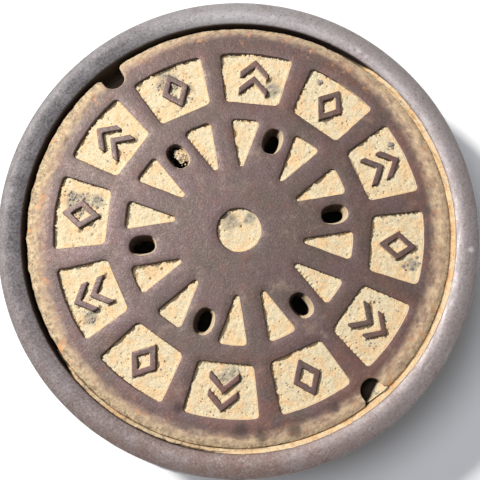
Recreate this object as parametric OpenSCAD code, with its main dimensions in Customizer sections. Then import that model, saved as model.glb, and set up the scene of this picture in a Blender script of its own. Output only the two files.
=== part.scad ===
// Round cast-iron manhole cover in its street frame.
// Millimetres. Origin at the centre of the frame's base, +Z up, the two pick notches on the Y axis.

/* [Frame] */
// Overall height, from the base to the crown of the top ring
frame_h = 203; // [190:1:230]
// Outer radius of the top ring
ring_r = 374.6; // [372:0.2:378]
// Radius of the clear opening
clear_r = 305; // [298:1:308]
// Outer radius of the base flange
flange_r = 410; // [400:1:430]
// Thickness of the base flange
flange_t = 18; // [14:1:24]
// Thickness of the lower wall
wall_t = 20; // [16:1:24]
// Gap all round between the cover and the ring
seat_gap = 7; // [5:0.5:8]
// Radius of the rounded crown on the ring
crown_arc_r = 32; // [30:1:60]
// Rise of the crown above the cover
crown_rise = 6; // [4:0.5:8]
// Number of gussets around the lower wall
gusset_count = 8; // [6:1:12]
// Thickness of a gusset
gusset_t = 14; // [10:1:20]

/* [Cover] */
// Outer radius of the cover
cover_r = 330; // [328:1:332]
// Depth of the bearing rim
cover_h = 44; // [40:1:52]
// Thickness of the plate
plate_t = 30; // [26:1:34]
// Width of the sloping band at the cover's edge
edge_w = 12; // [6:1:20]
// Fall of the sloping band
edge_drop = 3.5; // [1:0.5:5]
// Width of the bearing rim
rim_w = 32; // [26:1:40]
// Number of radial ribs on the underside
rib_count = 6; // [3:3:6]
// Thickness of a rib
rib_t = 12; // [8:1:16]
// Radius of the ring rib, at its middle
ring_rib_r = 228; // [190:1:270]

/* [Pockets] */
// Depth of the cast pockets
pocket_depth = 8; // [6:0.5:12]
// Number of outer panels, and of inner wedges
panel_count = 12; // [12]
// Distance from the centre to a panel's straight inner edge
panel_inner = 205; // [200:1:210]
// Radius of a panel's curved outer edge
panel_outer_r = 287; // [280:1:292]
// Half of the angle that a panel spans
panel_half_angle = 11.6; // [10:0.1:12.5]
// Distance from the centre to a wedge's corner, before it is rounded
wedge_tip = 90; // [84:1:96]
// Radius of a wedge's curved outer edge
wedge_outer_r = 177; // [170:1:180]
// Half of a wedge's width at its outer edge
wedge_half_w = 22.5; // [18:0.5:24]
// Sideways shift of a wedge, away from the vent beside it
wedge_shift = 6.8; // [5:0.1:8]
// Radius of the round pocket in the middle
disc_r = 34; // [28:1:40]
// Length of a raised mark, along the radius
mark_len = 61; // [50:1:64]
// Width of a raised mark
mark_w = 46; // [36:1:50]
// Width of the bars that make up a mark
mark_bar = 9; // [6:0.5:11]

/* [Vents and notches] */
// Number of vents
vent_count = 6; // [6]
// Distance from the centre to a vent
vent_at = 151; // [146:1:156]
// Length of a vent at the top, along the radius
vent_len = 41; // [36:1:44]
// Width of a vent at the top
vent_w = 30; // [24:1:32]
// How much narrower a vent is at the underside
vent_taper = 15; // [6:1:18]
// Radius of the round bottom of a pick notch
notch_r = 18; // [15:1:20]
// Distance from the centre to that round bottom's centre
notch_at = 317; // [312:1:320]
// Extra width of a notch at the cover's edge, on each side
notch_flare = 6; // [3:1:9]

/* [Silt] */
// Depth of the packed silt's surface below the plate
silt_drop = 4; // [3:0.5:6]
// Thickness of the grit bed on the frame's seat
bed_t = 2; // [1:0.5:4]
// Direction where the packed silt in the gap begins
crust_from = -186; // [-200:1:-60]
// Angle that the packed silt in the gap spans
crust_span = 207; // [60:1:220]
// Fall of the packed silt, from the ring to the cover
crust_slope = 4; // [0:0.5:6]
// Clearance between the packed silt and the cover
crust_gap = 0.4; // [0.3:0.1:1]

/* [Hidden] */
$fn = 96;

IRON = [0.50, 0.43, 0.41];
FRAME_IRON = [0.58, 0.52, 0.50];
SILT = [0.86, 0.78, 0.63];
SAND = [0.84, 0.68, 0.47];

cut = 1;                       // how far a cutting solid runs past the face that it cuts
bite = 2;                      // how far one fused solid runs into the next
corner_steps = 6;              // chords in a rounded corner
arc_steps = 8;                 // chords in a panel's curved edge, or in the ring's crown
wedge_steps = 4;               // chords in a wedge's curved edge

// Frame
seat_r = cover_r + seat_gap;
cover_top = frame_h - crown_rise;
cover_foot = cover_top - cover_h;
seat_z = cover_foot - bed_t;
wall_r = clear_r + wall_t;
crown_r = seat_r + 17;         // radius of the circle along which the crown is highest
inner_fillet = 3;
outer_fillet = 8;
rim_foot_r = ring_r - 7;       // the ring's outer face drafts in by this much
rim_foot_z = seat_z - 8;
haunch_z = seat_z - 36;        // the wall starts to swell out to the ring here
flange_edge = 3;
gusset_foot_r = flange_r - 14;

// Cover
plate_z = cover_top - plate_t;
rib_z = cover_foot + 2;        // the ribs stay this far off the bearing plane
boss_r = 46;
bearing_r = cover_r - rim_w;
bearing_edge = 1.5;

// Pockets
pitch = 360 / panel_count;
pocket_z = cover_top - pocket_depth;
silt_z = cover_top - silt_drop;
panel_corner_out = 6;
panel_corner_in = 8;
wedge_corner_out = 6;
wedge_corner_tip = 4;
mark_at = (panel_inner + panel_outer_r) / 2 + 1;

// Vents and notches
vent_pitch = 360 / vent_count;
vent_half = (vent_len - vent_w) / 2;
vent_foot_w = vent_w - vent_taper;

function polar(r, a) = [r * cos(a), r * sin(a)];
function unit(v) = v / norm(v);
function direction(v) = atan2(v.y, v.x);
function shortest(a) = a > 180 ? a - 360 : a < -180 ? a + 360 : a;

// Points along an arc, both ends included
function arc_points(centre, r, from, to, steps) =
    [for (i = [0:steps]) centre + polar(r, from + (to - from) * i / steps)];

// The arc that rounds the corner at b, on the way from a to c
function corner_arc(a, b, c, r) =
    let (u = unit(a - b), v = unit(c - b))
    let (half = acos(u * v) / 2)
    let (centre = b + unit(u + v) * r / sin(half))
    let (from = direction(b + u * r / tan(half) - centre))
    let (to = direction(b + v * r / tan(half) - centre))
    arc_points(centre, r, from, from + shortest(to - from), corner_steps);

// A closed outline with each corner rounded to its own radius, where 0 leaves it sharp
function rounded(points, radii) =
    let (n = len(points))
    [for (i = [0:n - 1])
        each radii[i] == 0
            ? [points[i]]
            : corner_arc(points[(i + n - 1) % n], points[i], points[(i + 1) % n], radii[i])];

// Corners along a curved outer edge: only the first and the last are rounded
function edge_radii(steps, r) = [for (i = [0:steps]) i == 0 || i == steps ? r : 0];

// ---------- outlines, each with its radius along +X ----------

module panel_outline() {
    inner_half = panel_inner * tan(panel_half_angle);
    outer = arc_points([0, 0], panel_outer_r, -panel_half_angle, panel_half_angle, arc_steps);
    inner = [[panel_inner, inner_half], [panel_inner, -inner_half]];
    radii = concat(edge_radii(arc_steps, panel_corner_out), [panel_corner_in, panel_corner_in]);
    polygon(rounded(concat(outer, inner), radii));
}

module wedge_outline() {
    half_angle = asin(wedge_half_w / wedge_outer_r);
    outer = arc_points([0, 0], wedge_outer_r, -half_angle, half_angle, wedge_steps);
    radii = concat(edge_radii(wedge_steps, wedge_corner_out), [wedge_corner_tip]);
    polygon(rounded(concat(outer, [[wedge_tip, 0]]), radii));
}

// Raised mark of the odd panels: an open lozenge
module lozenge_mark() {
    a = mark_len / 2;
    b = mark_w / 2;
    side = norm([a, b]);
    hole_a = a - mark_bar * side / b;
    hole_b = b - mark_bar * side / a;
    difference() {
        polygon([[a, 0], [0, b], [-a, 0], [0, -b]]);
        polygon([[hole_a, 0], [0, hole_b], [-hole_a, 0], [0, -hole_b]]);
    }
}

// Raised mark of the even panels: two chevrons, one behind the other
module chevron_mark() {
    rise = mark_len * 0.36;
    thick = mark_bar * norm([rise, mark_w / 2]) / (mark_w / 2);
    step = mark_len - rise - thick;
    for (x = [-mark_len / 2, -mark_len / 2 + step])
        translate([x, 0])
            polygon([
                [0, -mark_w / 2], [thick, -mark_w / 2], [rise + thick, 0],
                [thick, mark_w / 2], [0, mark_w / 2], [rise, 0]
            ]);
}

// A panel's floor around its raised mark
module panel_floor(i) {
    difference() {
        panel_outline();
        translate([mark_at, 0])
            if (i % 2 == 1) lozenge_mark();
            else chevron_mark();
    }
}

module notch_outline() {
    circle(notch_r);
    polygon([
        [0, -notch_r], [cover_r - notch_at - notch_flare, -notch_r],
        [cover_r - notch_at + cut, -notch_r - notch_flare - cut],
        [cover_r - notch_at + cut, notch_r + notch_flare + cut],
        [cover_r - notch_at - notch_flare, notch_r], [0, notch_r]
    ]);
}

// ---------- where the pockets, vents and notches are ----------

module at_panel(i) {
    rotate(pitch * (i - 0.5)) children();
}

// Each pair of wedges stands on both sides of a vent and leans away from it
module at_wedge(i) {
    side = i % 2 == 1 ? -1 : 1;
    rotate(pitch * (i - 0.5)) translate([0, side * wedge_shift]) children();
}

module at_vent(i) {
    rotate(vent_pitch * (i - 0.5)) translate([vent_at, 0]) children();
}

module at_notch(i) {
    rotate(90 + 180 * (i - 1)) translate([notch_at, 0]) children();
}

module vent_hole() {
    depth = plate_t + 2 * cut;
    taper = vent_taper / 2 * depth / plate_t;
    foot = vent_w / 2 + vent_taper / 2 * cut / plate_t - taper;
    translate([0, 0, plate_z - cut]) {
        for (x = [-vent_half, vent_half])
            translate([x, 0, 0])
                cylinder(h = depth, r1 = foot, r2 = foot + taper);
        translate([-vent_half, 0, 0])
            rotate([90, 0, 90])
                linear_extrude(2 * vent_half)
                    polygon([[-foot, 0], [foot, 0], [foot + taper, depth], [-foot - taper, depth]]);
    }
}

// ---------- frame ----------

function crown_points() =
    let (crown_c = [crown_r, frame_h - crown_arc_r])
    let (in_x = seat_r + inner_fillet, out_x = ring_r - outer_fillet)
    let (in_z = crown_c.y + sqrt((crown_arc_r - inner_fillet) ^ 2 - (in_x - crown_r) ^ 2))
    let (out_z = crown_c.y + sqrt((crown_arc_r - outer_fillet) ^ 2 - (out_x - crown_r) ^ 2))
    let (in_a = direction([in_x, in_z] - crown_c), out_a = direction([out_x, out_z] - crown_c))
    concat(
        arc_points([out_x, out_z], outer_fillet, 0, out_a, corner_steps),
        arc_points(crown_c, crown_arc_r, out_a + 4, in_a - 4, arc_steps),
        arc_points([in_x, in_z], inner_fillet, in_a, 180, corner_steps)
    );

module frame_profile() {
    polygon(concat(
        [
            [clear_r, 0], [flange_r, 0], [flange_r, flange_t - flange_edge],
            [flange_r - flange_edge, flange_t], [wall_r + 6, flange_t], [wall_r, flange_t + 6],
            [wall_r, haunch_z], [rim_foot_r, rim_foot_z]
        ],
        crown_points(),
        [[seat_r, seat_z], [clear_r, seat_z]]
    ));
}

module gusset() {
    rotate([90, 0, 0])
        translate([0, 0, -gusset_t / 2])
            linear_extrude(gusset_t)
                polygon([
                    [wall_r - bite, flange_t - bite], [gusset_foot_r, flange_t - bite],
                    [gusset_foot_r, flange_t + 8], [rim_foot_r - 6, rim_foot_z - 2],
                    [wall_r - bite, haunch_z]
                ]);
}

module frame() {
    color(FRAME_IRON) {
        rotate_extrude() frame_profile();
        for (i = [1:gusset_count])
            rotate(360 / gusset_count * (i - 0.5)) gusset();
    }
}

// ---------- cover ----------

module cover_profile() {
    polygon([
        [0, plate_z], [bearing_r - 4, plate_z], [bearing_r, cover_foot],
        [cover_r - bearing_edge, cover_foot], [cover_r, cover_foot + bearing_edge],
        [cover_r, cover_top - edge_drop], [cover_r - edge_w, cover_top], [0, cover_top]
    ]);
}

module ribs() {
    rib_h = plate_z - rib_z + bite;
    for (i = [1:rib_count])
        rotate(360 / rib_count * i)
            translate([boss_r - bite, -rib_t / 2, rib_z])
                cube([bearing_r - boss_r + bite, rib_t, rib_h]);
    translate([0, 0, rib_z]) {
        cylinder(h = rib_h, r = boss_r);
        difference() {
            cylinder(h = rib_h, r = ring_rib_r + rib_t / 2);
            translate([0, 0, -cut]) cylinder(h = rib_h + 2 * cut, r = ring_rib_r - rib_t / 2);
        }
    }
}

// The space of a cast pocket
module pocket_cut() {
    translate([0, 0, pocket_z])
        linear_extrude(pocket_depth + cut)
            children();
}

module cover() {
    color(IRON)
        difference() {
            union() {
                rotate_extrude() cover_profile();
                ribs();
            }
            pocket_cut() circle(disc_r);
            for (i = [1:panel_count]) {
                pocket_cut() at_panel(i) panel_floor(i);
                pocket_cut() at_wedge(i) wedge_outline();
            }
            for (i = [1:vent_count])
                at_vent(i) vent_hole();
            translate([0, 0, cover_foot - cut])
                linear_extrude(cover_h + 2 * cut)
                    for (i = [1:2])
                        at_notch(i) notch_outline();
        }
}

// ---------- silt ----------

// Silt that lies on a pocket's floor
module pocket_silt() {
    color(SILT)
        translate([0, 0, pocket_z])
            linear_extrude(silt_z - pocket_z)
                children();
}

module disc_silt() {
    pocket_silt() circle(disc_r);
}

module panel_silt(i) {
    pocket_silt() at_panel(i) panel_floor(i);
}

module wedge_silt(i) {
    pocket_silt() at_wedge(i) wedge_outline();
}

// Thin grit between the frame's seat and the cover's bearing rim
module bed_silt() {
    color(SAND)
        rotate_extrude()
            translate([clear_r + 1, seat_z])
                square([cover_r - clear_r - 2, bed_t]);
}

// Silt packed in the gap along one side, which slopes down to the cover's edge
module gap_silt() {
    top = cover_top + 0.5;
    near = cover_r + crust_gap;
    color(SAND)
        rotate_extrude(angle = crust_span, start = crust_from)
            polygon([[near, seat_z], [seat_r, seat_z], [seat_r, top], [near, top - crust_slope]]);
}

// Silt that half fills the second pick notch, deepest at its inner end
module notch_silt() {
    floor_z = cover_foot + bearing_edge;
    color(SILT)
        intersection() {
            translate([0, 0, floor_z])
                linear_extrude(cover_h)
                    intersection() {
                        at_notch(2) notch_outline();
                        circle(cover_r - 1);
                    }
            at_notch(2)
                rotate([90, 0, 0])
                    translate([0, 0, -3 * notch_r])
                        linear_extrude(6 * notch_r)
                            polygon([
                                [-notch_r - cut, floor_z], [cover_r - notch_at, floor_z],
                                [cover_r - notch_at, cover_top - 9], [0, cover_top - 17],
                                [-notch_r - cut, floor_z + 8]
                            ]);
        }
}

// Silt caught across the inner end of one vent
module vent_silt() {
    clump_h = 9;
    color(SILT)
        intersection() {
            at_vent(2) vent_hole();
            at_vent(2)
                translate([-vent_len, -vent_w, plate_z + 6])
                    cube([vent_len - 2, 2 * vent_w, clump_h]);
        }
}

// ---------- one line for each node ----------

frame();
cover();
bed_silt();
gap_silt();
notch_silt();
vent_silt();
disc_silt();
for (i = [1:panel_count])
    panel_silt(i);
for (i = [1:panel_count])
    wedge_silt(i);
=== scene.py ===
"""A weathered cast-iron manhole cover in its street frame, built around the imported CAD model.

Lengths in this file are millimetres; a mesh is scaled to metres when it is made. The origin is
the centre of the frame's base, +Z is up, and the two pick notches lie on the Y axis.
"""
import math
from functools import cache

import bmesh
import bpy
import numpy as np
from mathutils import Matrix, Vector
from mathutils.geometry import delaunay_2d_cdt
from mathutils.kdtree import KDTree


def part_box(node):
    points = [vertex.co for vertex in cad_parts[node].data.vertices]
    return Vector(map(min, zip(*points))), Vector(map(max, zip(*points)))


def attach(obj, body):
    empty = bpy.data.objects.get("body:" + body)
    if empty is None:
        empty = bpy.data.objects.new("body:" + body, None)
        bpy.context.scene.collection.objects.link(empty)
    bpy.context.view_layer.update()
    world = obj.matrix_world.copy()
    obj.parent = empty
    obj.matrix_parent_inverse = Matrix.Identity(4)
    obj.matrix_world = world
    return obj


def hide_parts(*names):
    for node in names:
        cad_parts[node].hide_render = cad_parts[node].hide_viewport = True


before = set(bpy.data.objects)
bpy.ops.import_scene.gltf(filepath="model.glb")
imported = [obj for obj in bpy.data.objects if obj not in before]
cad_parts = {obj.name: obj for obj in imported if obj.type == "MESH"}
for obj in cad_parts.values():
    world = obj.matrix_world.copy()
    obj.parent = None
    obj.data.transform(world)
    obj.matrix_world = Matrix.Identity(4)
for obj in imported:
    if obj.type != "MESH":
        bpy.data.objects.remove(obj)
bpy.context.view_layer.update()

MM = 0.001


def box_mm(node):
    """The low and the high corner of a CAD node."""
    low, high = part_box(node)
    return np.array(low) / MM, np.array(high) / MM


# ---------- sizes ----------

COVER_LOW, COVER_HIGH = box_mm("cover")
FRAME_HIGH = box_mm("frame")[1]
PLUG_LOW, PLUG_HIGH = box_mm("disc_silt")
COVER_R = COVER_HIGH[0]
TOP = COVER_HIGH[2]                 # the plate's upper face
FOOT = COVER_LOW[2]                 # the bearing rim's underside
POCKET_Z = PLUG_LOW[2]
CROWN = FRAME_HIGH[2]
FLANGE_R = FRAME_HIGH[0]
SEAT_R = COVER_R + 7
SEAT_Z = box_mm("bed_silt")[0][2]

EDGE_W, EDGE_DROP = 12, 3.5         # the sloping band at the cover's edge
PLATE_Z = TOP - 30                  # underside of the plate, between the ribs
RIB_Z = FOOT + 2
BEARING_R = COVER_R - 32
RIB_HALF = 6
BOSS_R = 46
RING_RIB_R = 228

DISC_R = PLUG_HIGH[0]
PANEL_INNER, PANEL_OUTER, PANEL_HALF = 205, 287, 11.6
WEDGE_TIP, WEDGE_OUTER, WEDGE_HALF_W, WEDGE_SHIFT = 90, 177, 22.5, 6.8
MARK_LEN, MARK_W, MARK_BAR = 61, 46, 9
MARK_AT = (PANEL_INNER + PANEL_OUTER) / 2 + 1
PANELS = range(1, 13)
VENTS = range(1, 7)
VENT_AT, VENT_LEN, VENT_W, VENT_TAPER = 151, 41, 30, 15
NOTCH_R, NOTCH_AT, NOTCH_FLARE = 18, 317, 6

SUN_AZIMUTH = 109                   # where the key light stands, in degrees from +X
SUN = np.array([math.cos(math.radians(SUN_AZIMUTH)), math.sin(math.radians(SUN_AZIMUTH))])


# ---------- smooth random fields ----------

def lumps(x, y, size, seed):
    """A smooth random field from -1 to 1, with lumps about `size` across."""
    table = np.random.RandomState(seed).uniform(-1, 1, (256, 256))
    u, v = x / size + 64.3, y / size + 91.7
    i, j = np.floor(u).astype(int), np.floor(v).astype(int)
    s, t = u - i, v - j
    s, t = s * s * (3 - 2 * s), t * t * (3 - 2 * t)

    def corner(a, b):
        return table[(i + a) % 256, (j + b) % 256]

    near = corner(0, 0) * (1 - s) + corner(1, 0) * s
    far = corner(0, 1) * (1 - s) + corner(1, 1) * s
    return near * (1 - t) + far * t


def rough(x, y, size, seed, octaves=3):
    """Lumps with finer lumps on them."""
    return sum(0.5 ** k * lumps(x, y, size / 2 ** k, seed + k) for k in range(octaves))


def ease(t):
    """Takes t from 0 to 1 with no slope at either end."""
    t = np.clip(t, 0, 1)
    return t * t * (3 - 2 * t)


# ---------- outlines ----------

def on_circle(r, degrees):
    """x and y at a radius, in a direction."""
    a = np.radians(degrees)
    return r * np.cos(a), r * np.sin(a)


def polar(r, degrees):
    return np.stack(on_circle(r, degrees), -1)


def turned(points, degrees):
    c, s = math.cos(math.radians(degrees)), math.sin(math.radians(degrees))
    return np.asarray(points, float) @ np.array([[c, s], [-s, c]])


def arc(r, start, end, steps, centre=(0, 0)):
    return polar(r, np.linspace(start, end, steps + 1)) + centre


def rounded(points, radii, steps=6):
    """The outline with each corner rounded to its own radius, where 0 leaves it sharp."""
    points, out = np.asarray(points, float), []
    for i, r in enumerate(radii):
        b = points[i]
        if r == 0:
            out.append([b])
            continue
        u, v = points[i - 1] - b, points[(i + 1) % len(points)] - b
        u, v = u / np.linalg.norm(u), v / np.linalg.norm(v)
        half = math.acos(np.clip(u @ v, -1, 1)) / 2
        centre = b + (u + v) / np.linalg.norm(u + v) * r / math.sin(half)
        start = math.degrees(math.atan2(*(b + u * r / math.tan(half) - centre)[::-1]))
        end = math.degrees(math.atan2(*(b + v * r / math.tan(half) - centre)[::-1]))
        sweep = (end - start + 180) % 360 - 180
        out.append(arc(r, start, start + sweep, steps, centre))
    return np.concatenate(out)


def divided(outline, spacing):
    """The closed outline with points added, so that no step is longer than `spacing`."""
    out = []
    for a, b in zip(outline, np.roll(outline, -1, 0)):
        n = max(1, math.ceil(np.linalg.norm(b - a) / spacing))
        out.append(a + (b - a) * np.arange(n)[:, None] / n)
    return np.concatenate(out)


def normals(outline):
    """Outward normals of a counter-clockwise outline, lengthened at the corners."""
    step = np.roll(outline, -1, 0) - outline
    step /= np.linalg.norm(step, axis=1)[:, None]
    side = np.stack([step[:, 1], -step[:, 0]], -1)
    both = side + np.roll(side, 1, 0)
    length = np.linalg.norm(both, axis=1)
    return both / length[:, None] * np.minimum(2 / length, 1.5)[:, None]


def grown(outline, amount):
    return outline + normals(outline) * amount


def inside(points, outline):
    x, y = points.T
    low, high = outline.min(0), outline.max(0)
    near = np.flatnonzero((x >= low[0]) & (x <= high[0]) & (y >= low[1]) & (y <= high[1]))
    odd = np.zeros(len(points), bool)
    px, py = x[near], y[near]
    hit = np.zeros(len(near), bool)
    for (ax, ay), (bx, by) in zip(outline, np.roll(outline, -1, 0)):
        if ay != by:
            hit ^= ((ay > py) != (by > py)) & (px < (bx - ax) * (py - ay) / (by - ay) + ax)
    odd[near] = hit
    return odd


def within(points, loops):
    """True where a point is inside an odd number of the loops."""
    odd = np.zeros(len(points), bool)
    for loop in loops:
        odd ^= inside(points, loop)
    return odd


def nearest(points, targets):
    """Distance from each point to the nearest target, and the unit vector that leads there."""
    gap = np.empty(len(points))
    way = np.empty((len(points), 2))
    for start in range(0, len(points), 2000):
        part = points[start:start + 2000]
        apart = targets[None] - part[:, None]
        length = np.linalg.norm(apart, axis=2)
        best = length.argmin(1)
        rows = np.arange(len(part))
        gap[start:start + 2000] = length[rows, best]
        way[start:start + 2000] = apart[rows, best] / np.maximum(length[rows, best], 1e-9)[:, None]
    return gap, way


def scatter(loops, spacing, seed, keep_off=0.6):
    """A jittered lattice of points inside the loops, clear of their own points."""
    edge = np.concatenate(loops)
    low, high = edge.min(0), edge.max(0)
    across = np.arange(low[0], high[0], spacing)
    along = np.arange(low[1], high[1], spacing * 0.866)
    x, y = np.meshgrid(across, along)
    x[1::2] += spacing / 2
    points = np.stack([x.ravel(), y.ravel()], -1)
    points += np.random.RandomState(seed).uniform(-0.22, 0.22, points.shape) * spacing
    points = points[within(points, loops)]
    return points[nearest(points, edge)[0] > keep_off * spacing]


def panel_outline():
    """A panel's pocket, which lies along +X until at_panel turns it."""
    outer = arc(PANEL_OUTER, -PANEL_HALF, PANEL_HALF, 8)
    half = PANEL_INNER * math.tan(math.radians(PANEL_HALF))
    corners = np.concatenate([outer, [[PANEL_INNER, half], [PANEL_INNER, -half]]])
    return rounded(corners, [6] + [0] * 7 + [6, 8, 8])


def wedge_outline():
    """A wedge's pocket, with its tip towards the middle."""
    half = math.degrees(math.asin(WEDGE_HALF_W / WEDGE_OUTER))
    outer = arc(WEDGE_OUTER, -half, half, 4)
    return rounded(np.concatenate([outer, [[WEDGE_TIP, 0]]]), [6, 0, 0, 0, 6, 4])


def lozenge_mark():
    """Outlines of an open lozenge: the outer one first, then its hole."""
    a, b = MARK_LEN / 2, MARK_W / 2
    side = math.hypot(a, b)
    loops = []
    for p, q, r in ((a, b, 2.5), (a - MARK_BAR * side / b, b - MARK_BAR * side / a, 1.5)):
        loops.append(rounded([[p, 0], [0, q], [-p, 0], [0, -q]], [r] * 4))
    return loops


def chevron_mark():
    """Outlines of two chevrons, one behind the other."""
    rise = MARK_LEN * 0.36
    thick = MARK_BAR * math.hypot(rise, MARK_W / 2) / (MARK_W / 2)
    half = MARK_W / 2
    one = np.array([[0, -half], [thick, -half], [rise + thick, 0], [thick, half], [0, half], [rise, 0]])
    start = -MARK_LEN / 2
    return [
        rounded(one + [x, 0], [2, 2, 2.5, 2, 2, 2])
        for x in (start, start + MARK_LEN - rise - thick)
    ]


def vent_outline():
    """An oval, a little fuller than an ellipse."""
    way = polar(1.0, np.arange(0, 360, 7.5))
    fullness = 0.86
    return np.sign(way) * np.abs(way) ** fullness * [VENT_LEN / 2, VENT_W / 2]


def disc_outline():
    return arc(DISC_R, 0, 360, 60)[:-1]


def cover_outline():
    """The cover's edge, counter-clockwise from +X, with its two notches."""
    mouth = COVER_R - NOTCH_AT
    wide = NOTCH_R + NOTCH_FLARE
    half = math.degrees(math.asin(wide / COVER_R))
    bottom = arc(NOTCH_R, 100, 260, 16)
    neck = mouth - NOTCH_FLARE
    notch = np.concatenate([[[neck, NOTCH_R]], bottom, [[neck, -NOTCH_R]]])[::-1] + [NOTCH_AT, 0]
    points, radii = [], []
    for a in (90, 270):
        rim = arc(COVER_R, a - 180 + half, a - half, 110)
        points += [rim, turned(notch, a)]
        radii += [[5] + [0] * (len(rim) - 2) + [5], [4] + [0] * (len(notch) - 2) + [4]]
    return rounded(np.concatenate(points), np.concatenate(radii), 5)


def sector_outline(low, high, inset):
    """The space between two ribs from one radius to another, with its edges moved in."""
    steps = max(3, round(low / 25))
    low, high, rib = low + inset, high - inset, RIB_HALF + inset
    a, b = (30 - math.degrees(math.asin(rib / r)) for r in (low, high))
    corners = np.concatenate([arc(high, -b, b, 18), arc(low, a, -a, steps)])
    big, small = max(10 - inset, 2), max(7 - inset, 2)
    points = rounded(corners, [big] + [0] * 17 + [big, small] + [0] * (steps - 1) + [small])
    turn = 2 * 7 + 17               # the outer edge: two corners of 7 points, and 17 between them
    sides = [np.linspace(points[k - 1], points[k % len(points)], 15)[1:-1] for k in (turn, len(points))]
    return np.concatenate([points[:turn], sides[0], points[turn:], sides[1]])


def at_panel(points, i):
    return turned(points, 30 * (i - 0.5))


def at_wedge(points, i):
    side = -1 if i % 2 else 1
    return turned(np.asarray(points) + [0, side * WEDGE_SHIFT], 30 * (i - 0.5))


def at_vent(points, i):
    return turned(np.asarray(points) + [VENT_AT, 0], 60 * (i - 0.5))


# ---------- meshes ----------

INSIDE = 1                          # asks delaunay_2d_cdt for the triangles inside the outermost loop


def regions(triangles, walls):
    """A label for each triangle, which is the same where no wall edge stands between two of them."""
    parent = list(range(len(triangles)))

    def root(k):
        while parent[k] != k:
            parent[k] = parent[parent[k]]
            k = parent[k]
        return k

    owner = {}
    for t, (a, b, c) in enumerate(triangles):
        for edge in ((a, b), (b, c), (c, a)):
            edge = (min(edge), max(edge))
            if edge not in walls:
                parent[root(t)] = root(owner.setdefault(edge, t))
    return np.array([root(t) for t in range(len(triangles))])


def outside_holes(triangles, xy, edges, loops):
    """The triangles that lie inside an odd number of the loops."""
    label = regions(triangles.tolist(), {(min(edge), max(edge)) for edge in edges})
    a, b, c = (xy[triangles[:, k]] for k in range(3))
    u, v = b - a, c - a
    area = np.abs(u[:, 0] * v[:, 1] - u[:, 1] * v[:, 0])
    largest = {}
    for t in np.argsort(area):
        largest[label[t]] = t
    largest = np.array(list(largest.values()))
    kept = label[largest[within(((a + b + c) / 3)[largest], loops)]]
    return triangles[np.isin(label, kept)]


class Shell:
    """A closed surface made of rows of points, which quads join and triangles fill."""

    def __init__(self):
        self.points = np.zeros((0, 3))
        self.faces = []

    def row(self, xy, z):
        """Adds a row of points and returns their numbers."""
        first = len(self.points)
        z = np.broadcast_to(z, len(xy))
        self.points = np.concatenate([self.points, np.column_stack([xy, z])])
        return np.arange(first, len(self.points))

    def join(self, a, b):
        """Quads between two closed rows."""
        quads = np.stack([a, np.roll(a, -1), np.roll(b, -1), b], -1)
        self.faces += quads.tolist()

    def join_all(self, rows):
        for a, b in zip(rows, rows[1:]):
            self.join(a, b)

    def fill(self, loops, spacing=None, height=None, seed=0, extra=None):
        """Triangles over the loops' inside, with points `spacing` apart at the given height."""
        rims = [self.points[loop, :2] for loop in loops]
        index = list(loops)
        if spacing:
            free = scatter(rims, spacing, seed)
            if extra is not None and len(extra):
                free = free[nearest(free, extra)[0] > 0.35 * spacing]
                free = np.concatenate([free, extra])
            index.append(self.row(free, height(free)))
        index = np.concatenate(index)
        edges, start = [], 0
        for loop in loops:
            n = len(loop)
            edges += [(start + k, start + (k + 1) % n) for k in range(n)]
            start += n
        flat = [Vector(p) for p in self.points[index, :2]]
        _, _, triangles, source, _, _ = delaunay_2d_cdt(flat, edges, [], INSIDE, 1e-5)
        triangles = np.array([s[0] for s in source])[np.array(triangles)]
        if len(loops) > 1:
            triangles = outside_holes(triangles, self.points[index, :2], edges, rims)
        self.faces += index[triangles].tolist()

    def add(self, points, faces):
        first = len(self.points)
        self.points = np.concatenate([self.points, points])
        self.faces += [[first + k for k in face] for face in faces]


def make_piece(name, shell, material, body, slot, node, **attributes):
    """A Blender object from a shell, which stands for a CAD node and rides on its body."""
    mesh = bpy.data.meshes.new(name)
    mesh.from_pydata((shell.points * MM).tolist(), [], shell.faces)
    mesh.update()
    for key, values in attributes.items():
        layer = mesh.attributes.new(key, "FLOAT", "POINT")
        layer.data.foreach_set("value", np.asarray(values, np.float32))
    face_outwards(mesh)
    mesh.shade_smooth()
    mesh.materials.append(material)
    piece = bpy.data.objects.new(name, mesh)
    bpy.context.scene.collection.objects.link(piece)
    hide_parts(node)
    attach(piece, body)


def face_outwards(mesh):
    work = bmesh.new()
    work.from_mesh(mesh)
    bmesh.ops.recalc_face_normals(work, faces=work.faces)
    work.to_mesh(mesh)
    work.free()


# ---------- cover ----------

LIP = 1.6                           # radius worn onto the edge of each pocket
MARK_LIP = 1.2
SLOPE = 1.0                         # draft of a pocket's wall over its depth
BAND_R = 294                        # outside this radius the plate's mesh is finer
BAND_SPACING, PLATE_SPACING = 2.5, 4.2

# By direction: how much dust lies along the cover's edge, how much crust stands on it, and how
# much rust has stained the plate
DUST_AROUND = ((-39, 1.0), (-75, 0.85), (-105, 0.7), (-129, 0.6), (-165, 0.6), (171, 0.7), (141, 0.9),
               (111, 0.8), (81, 0.4), (51, 0.25), (21, 0.45), (-9, 0.9))
CRUST_AROUND = ((-39, 0.25), (-99, 0.3), (-129, 0.5), (-165, 0.7), (171, 0.8), (141, 1.0), (111, 1.0),
                (86, 0.5), (51, 0.3))
STAINED_AROUND = ((-39, 0.9), (-9, 1.0), (21, 0.8), (51, 0.5), (81, 0.25), (111, 0.1), (171, 0.2),
                  (-159, 0.5), (-129, 1.0), (-99, 1.0), (-69, 0.8))


def around(xy, amounts):
    """The amount at each point, read from (direction, amount) pairs."""
    directions, values = np.array(sorted(amounts)).T
    directions = np.concatenate([directions - 360, directions, directions + 360])
    return np.interp(np.degrees(np.arctan2(xy[:, 1], xy[:, 0])), directions, np.tile(values, 3))


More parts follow.
